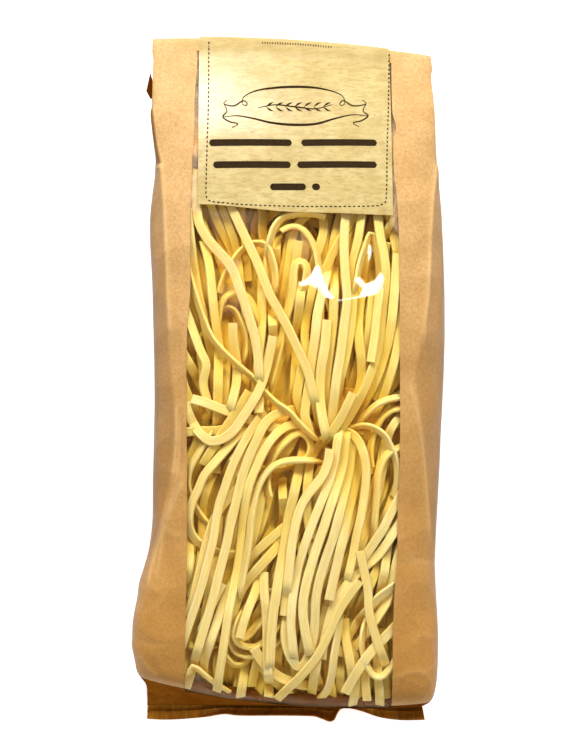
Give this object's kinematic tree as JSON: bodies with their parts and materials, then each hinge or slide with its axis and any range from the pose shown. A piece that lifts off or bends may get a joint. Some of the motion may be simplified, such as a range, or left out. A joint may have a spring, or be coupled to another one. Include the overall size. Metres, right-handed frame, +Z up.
{
  "type": "kraft paper window pack of ribbon pasta",
  "caption": "Gusseted kraft paper pack with a clear front window, a folded top under a paper label and a pinched bottom seam, full of dry flat egg pasta ribbons; it lies on its back.",
  "frame": {"origin": "middle of the bottom of the pack's box, on the surface it lies on", "axes": "+Y from the pinched bottom seam towards the folded top, +Z up out of the window, +X to the right of the window"},
  "size_m": [0.123, 0.2728, 0.0531],
  "materials": {
    "kraft_paper": "unbleached kraft paper, matt with a faint sheen, creased",
    "clear_film": "clear glossy film, slightly crumpled",
    "label_paper": "cream parchment-look paper with a soft gloss and a dashed brown border",
    "pasta": "pale yellow dry egg dough, satin, slightly translucent"
  },
  "bodies": {
    "root": {"paper_bag": "kraft_paper", "window_film": "clear_film", "label": "label_paper", "pasta": "pasta"}
  },
  "joints": []
}
